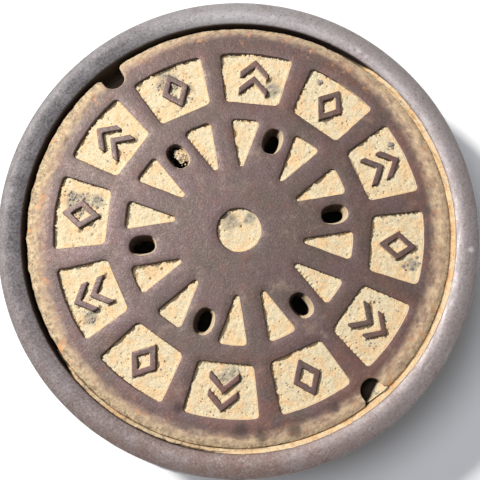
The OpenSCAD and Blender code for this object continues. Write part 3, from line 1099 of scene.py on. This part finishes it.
class Look:
    """A procedural material, with a short call for each kind of node that it needs."""

    def __init__(self, name, roughness=0.8, metallic=0.0, specular=0.4):
        self.material = bpy.data.materials.new(name)
        self.material.use_nodes = True
        self.tree = self.material.node_tree
        self.shader = self.tree.nodes["Principled BSDF"]
        self.shader.inputs["Roughness"].default_value = roughness
        self.shader.inputs["Metallic"].default_value = metallic
        self.shader.inputs["Specular IOR Level"].default_value = specular
        self.place = self.tree.nodes.new("ShaderNodeTexCoord").outputs["Object"]
        self.colour = None

    def node(self, kind, inputs, output=0, **settings):
        """A new node's output. Each input is a constant or another node's output."""
        node = self.tree.nodes.new(kind)
        for key, value in settings.items():
            setattr(node, key, value)
        for key, value in inputs.items():
            if isinstance(value, bpy.types.NodeSocket):
                self.tree.links.new(value, node.inputs[key])
            else:
                node.inputs[key].default_value = value
        return node.outputs[output]

    def math(self, kind, a, b):
        return self.node("ShaderNodeMath", {0: a, 1: b}, operation=kind)

    def plus(self, a, b):
        return self.math("ADD", a, b)

    def times(self, a, b):
        return self.math("MULTIPLY", a, b)

    def vector(self, kind, inputs, output=0):
        return self.node("ShaderNodeVectorMath", inputs, output, operation=kind)

    def attribute(self, name):
        return self.node("ShaderNodeAttribute", {}, "Fac", attribute_name=name)

    def axis(self, name):
        return self.node("ShaderNodeSeparateXYZ", {0: self.place}, name)

    def noise(self, size, detail=3, roughness=0.6, at=None, warp=0):
        """Noise from 0 to 1 with lumps about `size` millimetres across."""
        values = {"Vector": at or self.place, "Scale": 1000 / size, "Detail": detail}
        values.update({"Roughness": roughness, "Distortion": warp})
        return self.node("ShaderNodeTexNoise", values)

    def cells(self, size):
        """The distance to the middle of the nearest cell, in cells about `size` across."""
        values = {"Vector": self.place, "Scale": 1000 / size}
        return self.node("ShaderNodeTexVoronoi", values, "Distance")

    def step(self, value, low, high, start=0.0, end=1.0):
        """`start` where the value is below `low`, rising smoothly to `end` at `high`."""
        values = {"Value": value, "From Min": low, "From Max": high, "To Min": start, "To Max": end}
        return self.node("ShaderNodeMapRange", values, interpolation_type="SMOOTHSTEP")

    def mix(self, amount, a, b):
        return self.node("ShaderNodeMix", {0: amount, 6: a, 7: b}, 2, data_type="RGBA")

    def over(self, amount, colour):
        """Lays a colour over what the look has so far."""
        self.colour = self.mix(amount, self.colour, colour)

    def moved(self, scale, offset=(0, 0, 0)):
        return self.vector("ADD", {0: self.vector("MULTIPLY", {0: self.place, 1: scale}), 1: offset})

    def facing(self, way):
        """How far the surface faces a horizontal direction, from -1 to 1."""
        normal = self.node("ShaderNodeTexCoord", {}, "Normal")
        return self.vector("DOT_PRODUCT", {0: normal, 1: (*way, 0)}, "Value")

    def radius(self):
        return self.vector("LENGTH", {0: self.moved((1, 1, 0))}, "Value")

    def round_way(self, along, across):
        """A place that runs round the cover: `along` the circle and `across` it, as scales."""
        way = self.vector("NORMALIZE", {0: self.moved((1, 1, 0))})
        circle = self.vector("SCALE", {0: way, "Scale": 0.35 * along})
        out = self.node("ShaderNodeCombineXYZ", {2: self.times(self.radius(), across)})
        return self.vector("ADD", {0: circle, 1: out})

    def spot(self, at, size, ragged=0.5):
        """A ragged patch about `size` across, centred `at` a point in millimetres."""
        away = self.moved((1000, 1000, 0), (-at[0], -at[1], 0))
        gap = self.vector("LENGTH", {0: away}, "Value")
        edge = self.times(self.noise(size * 0.5, 4), ragged * size)
        return self.step(self.plus(gap, edge), size * 0.35, size * 0.8, 1.0, 0.0)

    def finish(self, roughness=None, bumps=()):
        """The material, with the colour so far and bumps given as height and depth in mm."""
        self.tree.links.new(self.colour, self.shader.inputs["Base Color"])
        if roughness is not None:
            self.tree.links.new(roughness, self.shader.inputs["Roughness"])
        normal = None
        for height, depth in bumps:
            values = {"Height": height, "Strength": 1.0, "Distance": depth * MM}
            if normal:
                values["Normal"] = normal
            normal = self.node("ShaderNodeBump", values)
        if normal:
            self.tree.links.new(normal, self.shader.inputs["Normal"])
        return self.material


# Dark stains on the cover, as a place and a size
STAINS = (
    ((-192, -236), 34), ((-172, -262), 26), ((-128, -288), 30), ((-242, -150), 20), ((-60, -300), 22),
    ((-205, -292), 16),
)


def mottled(look, wide, patchy, fine):
    """The cover's bare iron: mauve and green-grey, with rust stains and a fine grain."""
    look.colour = look.mix(look.step(wide, 0.38, 0.62), srgb(101, 80, 77), srgb(94, 78, 70))
    look.over(look.step(patchy, 0.52, 0.70, 0, 0.5), srgb(112, 76, 64))
    look.over(look.step(patchy, 0.46, 0.32, 0, 0.5), srgb(84, 69, 64))
    stained = look.step(look.noise(46, 5, 0.7, look.moved((1, 1, 1), (2, 8, 3))), 0.42, 0.60)
    stained = look.times(stained, look.attribute("ruddy"))
    look.over(look.times(stained, 0.6), srgb(124, 84, 71))
    look.over(look.step(fine, 0.52, 0.72, 0, 0.55), srgb(148, 128, 117))
    look.over(look.step(fine, 0.46, 0.28, 0, 0.65), srgb(70, 57, 54))


def dusty_edge(look, radius):
    """Dust, crust and rust towards the cover's edge. Returns how dusty it is there."""
    streaks = look.noise(16, 4, 0.7, look.round_way(1, 2.2))
    reach = look.plus(radius, look.times(look.attribute("rim"), 0.024))
    band = look.step(look.plus(reach, look.times(streaks, 0.010)), 0.322, 0.343)
    dusty = look.times(band, look.step(streaks, 0.30, 0.60, 0.35, 0.95))
    warm = look.step(look.noise(12, 4, 0.7), 0.40, 0.62)
    look.over(dusty, look.mix(warm, srgb(222, 196, 158), srgb(196, 166, 138)))
    packed = look.plus(radius, look.times(look.attribute("crust"), 0.013))
    packed = look.plus(packed, look.times(look.noise(11, 4, 0.7), 0.016))
    shaded = look.step(look.noise(9, 4, 0.7), 0.42, 0.62)
    crust = look.mix(shaded, srgb(206, 184, 148), srgb(160, 140, 114))
    crust = look.mix(look.step(look.noise(3.6, 4, 0.8), 0.50, 0.36, 0, 0.85), crust, srgb(84, 70, 56))
    look.over(look.step(packed, 0.330, 0.343, 0, 0.95), crust)
    rusty = look.step(look.noise(24, 5, 0.7), 0.58, 0.67, 0, 0.7)
    look.over(look.times(look.step(radius, 0.290, 0.318), rusty), srgb(214, 152, 98))
    return dusty


def dusty_walls(look, radius):
    """Painted shade low in the pockets and vents and on walls facing away from the key light; dust only on
    walls facing it, as painted light. Returns that dust.
    """
    # painted shade: darker low in the pockets and vents, below the plate's face
    painted_recess_shade = look.times(look.step(look.axis("Z"), 0.1935, 0.1900), look.step(radius, 0.340, 0.298))
    look.over(look.times(painted_recess_shade, 0.9), srgb(66, 54, 48))
    walls = look.step(look.attribute("dust"), 0.05, 0.6)
    lit = look.facing(SUN)
    # painted shade on the walls that face away from the key light, then cream dust only on the walls that
    # face it, as painted light
    look.over(look.times(walls, look.step(lit, 0.12, -0.15, 0, 0.85)), srgb(58, 46, 42))
    walls = look.times(walls, look.step(lit, -0.05, 0.25, 0, 0.95))
    look.over(walls, srgb(226, 204, 170))
    return walls


def cover_iron():
    """Worn iron, mottled mauve, green-grey and rust, with dust at its edge, painted shade on its outer
    side down in the gap, and in its pockets painted shade low down and on walls away from the key light,
    with dust only on the walls that face it.
    """
    look = Look("cover_iron", metallic=0.3, specular=0.5)
    wide = look.noise(90, 4, 0.6, warp=0.4)
    patchy = look.noise(21, 4, 0.6, look.moved((1, 1, 1), (3, 1, 2)))
    fine = look.noise(2.6, 3, 0.75)
    radius = look.radius()
    mottled(look, wide, patchy, fine)
    dusty = dusty_edge(look, radius)
    film = look.step(look.noise(38, 5, 0.72, look.moved((1, 1, 1), (7, 5, 1))), 0.54, 0.74, 0, 0.30)
    look.over(film, srgb(178, 152, 132))
    for place, size in STAINS:
        look.over(look.times(look.spot(place, size), 0.7), srgb(60, 48, 46))
    walls = dusty_walls(look, radius)
    # painted shade on the cover's outer side, down in the gap to the frame
    side = look.times(look.step(radius, 0.326, 0.329), look.step(look.axis("Z"), 0.188, 0.180))
    look.over(side, srgb(92, 76, 64))
    brown = look.mix(look.step(wide, 0.4, 0.6), srgb(104, 74, 58), srgb(128, 92, 68))
    look.over(look.step(look.axis("Z"), 0.170, 0.166, 0, 0.85), brown)
    shine = look.step(look.noise(6, 4, 0.7), 0.35, 0.68, 0.38, 0.56)
    shine = look.mix(look.math("MAXIMUM", dusty, walls), shine, (0.93, 0.93, 0.93, 1))
    return look.finish(shine, [(patchy, 0.35), (look.noise(4, 4, 0.7), 0.35), (fine, 0.28)])


def polished(look, scuffs, patchy, fine):
    """The frame's crown: grey, browner where it is ruddy, with scratches and bright scuffs."""
    look.colour = look.mix(look.step(scuffs, 0.36, 0.66), srgb(155, 150, 150), srgb(168, 163, 162))
    ruddy = look.times(look.attribute("ruddy"), look.step(patchy, 0.3, 0.6, 0.6, 1.0))
    look.over(ruddy, srgb(140, 112, 101))
    look.over(look.step(patchy, 0.54, 0.70, 0, 0.3), srgb(128, 102, 92))
    look.over(look.step(fine, 0.52, 0.70, 0, 0.6), srgb(192, 184, 180))
    look.over(look.step(fine, 0.47, 0.30, 0, 0.75), srgb(80, 70, 70))
    scratch = look.noise(9, 3, 0.6, look.round_way(1, 14))
    look.over(look.step(scratch, 0.62, 0.72, 0, 0.3), srgb(196, 186, 182))
    worn = look.times(look.step(scuffs, 0.62, 0.70), look.step(look.noise(9, 4), 0.56, 0.62, 0, 0.5))
    look.over(worn, srgb(222, 214, 210))
    for place in ((-232, 270), (257, -252)):
        look.over(look.times(look.spot(place, 13), 0.7), srgb(226, 222, 222))


def frame_iron():
    """Iron polished by wheels on the crown, dull and dark to one side (a dull stain with painted shade on
    the inner slope), rough brown below, and painted shade on the bore under the crown.
    """
    look = Look("frame_iron", metallic=0.35, specular=0.5)
    scuffs = look.noise(30, 5, 0.68, look.round_way(1, 4))
    patchy = look.noise(34, 4, 0.62)
    fine = look.noise(3.4, 4, 0.8)
    polished(look, scuffs, patchy, fine)
    # a dull dark stain to one side, darker towards the crown's inner slope as painted shade
    dull = look.times(look.attribute("dull"), look.step(patchy, 0.25, 0.6, 0.75, 1.0))
    dull = look.times(dull, look.step(look.radius(), 0.366, 0.352, 0.6, 1.0))
    look.over(dull, look.mix(look.step(fine, 0.40, 0.62), srgb(66, 62, 66), srgb(110, 105, 107)))
    raw = look.mix(look.step(patchy, 0.40, 0.62), srgb(122, 98, 82), srgb(104, 92, 86))
    raw = look.mix(look.step(look.noise(7, 4), 0.54, 0.68, 0, 0.8), raw, srgb(156, 110, 76))
    below = look.step(look.plus(look.axis("Z"), look.times(patchy, 0.010)), 0.192, 0.180)
    look.over(below, raw)
    # painted shade on the bore's wall, from under the crown down to the seat
    bore_shade = look.times(look.step(look.radius(), 0.3395, 0.3375), look.step(look.axis("Z"), 0.200, 0.193))
    look.over(look.times(bore_shade, look.step(look.axis("Z"), 0.147, 0.149)), srgb(74, 62, 56))
    shine = look.step(scuffs, 0.34, 0.66, 0.56, 0.42)
    shine = look.mix(dull, shine, (0.82, 0.82, 0.82, 1))
    shine = look.mix(below, shine, (0.85, 0.85, 0.85, 1))
    return look.finish(shine, [(patchy, 0.12), (scuffs, 0.1), (fine, 0.16)])


def silt_material(name, pale, warm, shade, crust):
    """Dried silt: fine grain, warmer patches, dark specks and grit, with grey stones in it, darkened where
    the dark attribute is set (mostly painted shade in the depths).
    """
    look = Look(name, roughness=0.95, specular=0.15)
    grain = look.noise(1.7, 3, 0.8)
    look.colour = look.mix(look.step(look.noise(21, 4, 0.62, warp=0.5), 0.42, 0.64), pale, warm)
    look.over(look.step(look.noise(8, 4, 0.7), 0.54, 0.70, 0, 0.5), shade)
    look.over(look.step(grain, 0.54, 0.70, 0, 0.6), crust)
    look.over(look.step(grain, 0.48, 0.30, 0, 0.9), shade)
    flecks = look.noise(4, 4, 0.75, look.moved((1, 1, 1), (9, 2, 4)))
    look.over(look.step(flecks, 0.38, 0.29, 0, 0.8), srgb(112, 98, 80))
    specks = look.times(look.step(look.cells(3.4), 0.28, 0.16), look.step(look.noise(6, 3), 0.50, 0.60))
    look.over(look.times(specks, 0.75), srgb(122, 116, 102))
    gravel = look.times(look.attribute("grey"), look.step(grain, 0.3, 0.6, 0.3, 0.95))
    grey = look.mix(look.step(look.noise(6, 4), 0.40, 0.62), srgb(158, 150, 132), srgb(112, 108, 102))
    look.over(gravel, grey)
    stone = look.attribute("stone")
    grey = look.mix(look.step(stone, 0.4, 1.0), srgb(176, 160, 138), srgb(116, 113, 116))
    grey = look.mix(look.step(look.noise(2.2, 3), 0.45, 0.65, 0, 0.6), grey, srgb(160, 154, 148))
    look.over(look.step(stone, 0.05, 0.2), grey)
    # painted shade from the dark attribute: deep silt and sand, and the seat grit; on the gap sand also
    # the crust's darker mottling
    look.over(look.attribute("dark"), srgb(70, 58, 48))
    return look.finish(None, [(look.noise(5, 4, 0.7), 0.6), (grain, 0.45)])


def floor_material():
    """Pale grey, very slightly mottled."""
    look = Look("floor", roughness=0.9)
    tone = look.step(look.noise(240, 3), 0.3, 0.7)
    look.colour = look.mix(tone, (0.90, 0.90, 0.89, 1), (0.92, 0.92, 0.91, 1))
    return look.finish()


# ---------- stage ----------

VIEW_TURN = -39                     # the photographer's right is this far round from +X
CAMERA_AT, CAMERA_UP = (-7.5, -163.5), 1061.2   # across and along the photo, and above the plate
AIM_AT = (1.7, -16.3)
IMAGE_UP = 50.6                     # the direction that the top of the image points in
LENS = 51.9
FLOOR_REACH = 6                     # metres


def make_camera():
    camera = bpy.data.objects.new("camera", bpy.data.cameras.new("camera"))
    bpy.context.scene.collection.objects.link(camera)
    at = np.append(turned(CAMERA_AT, VIEW_TURN), TOP + CAMERA_UP) * MM
    aim = np.append(turned(AIM_AT, VIEW_TURN), TOP) * MM
    back = Vector(at - aim).normalized()
    up = Vector((*polar(1.0, IMAGE_UP), 0))
    right = up.cross(back).normalized()
    turn = Matrix((right, back.cross(right), back)).transposed()
    camera.matrix_world = Matrix.Translation(Vector(at)) @ turn.to_4x4()
    camera.data.lens = LENS
    bpy.context.scene.camera = camera


def area_light(name, azimuth, elevation, distance, size, power, colour):
    light = bpy.data.lights.new(name, "AREA")
    light.shape, light.size, light.energy, light.color = "DISK", size, power, colour
    piece = bpy.data.objects.new(name, light)
    bpy.context.scene.collection.objects.link(piece)
    flat = polar(math.cos(math.radians(elevation)), azimuth)
    away = Vector((*flat, math.sin(math.radians(elevation))))
    piece.location = away * distance + Vector((0, 0, TOP * MM))
    piece.rotation_euler = away.to_track_quat("Z", "Y").to_euler()


def make_stage():
    mesh = bpy.data.meshes.new("floor")
    corners = [(x * FLOOR_REACH, y * FLOOR_REACH, 0) for x, y in ((-1, -1), (1, -1), (1, 1), (-1, 1))]
    mesh.from_pydata(corners, [], [(0, 1, 2, 3)])
    mesh.materials.append(floor_material())
    floor = bpy.data.objects.new("floor", mesh)
    floor.location.z = -0.001
    bpy.context.scene.collection.objects.link(floor)
    area_light("key", SUN_AZIMUTH, 47, 3.2, 0.30, 118, (1.0, 0.975, 0.93))
    area_light("sheen", SUN_AZIMUTH + 8, 69, 3.0, 1.2, 44, (0.88, 0.91, 1.0))
    area_light("fill", SUN_AZIMUTH + 180, 14, 4.0, 2.0, 14, (1.0, 0.97, 0.94))
    world = bpy.data.worlds.new("studio")
    world.use_nodes = True
    background = world.node_tree.nodes["Background"]
    background.inputs["Color"].default_value = (0.86, 0.89, 0.95, 1)
    background.inputs["Strength"].default_value = 0.18
    bpy.context.scene.world = world
    bpy.context.scene.view_settings.view_transform = "Standard"


# ---------- the scene ----------

make_cover(cover_iron())
silt = silt_material("silt", pale=srgb(214, 198, 164), warm=srgb(220, 187, 142),
                     shade=srgb(154, 140, 114), crust=srgb(238, 223, 190))
make_silt(silt)
make_notch_silt(silt)
make_vent_silt(silt)
make_frame(frame_iron())
sand = silt_material("sand", pale=srgb(220, 196, 158), warm=srgb(218, 176, 126),
                     shade=srgb(150, 124, 96), crust=srgb(238, 216, 180))
make_gap_silt(sand)
make_bed(sand)
make_stage()
make_camera()
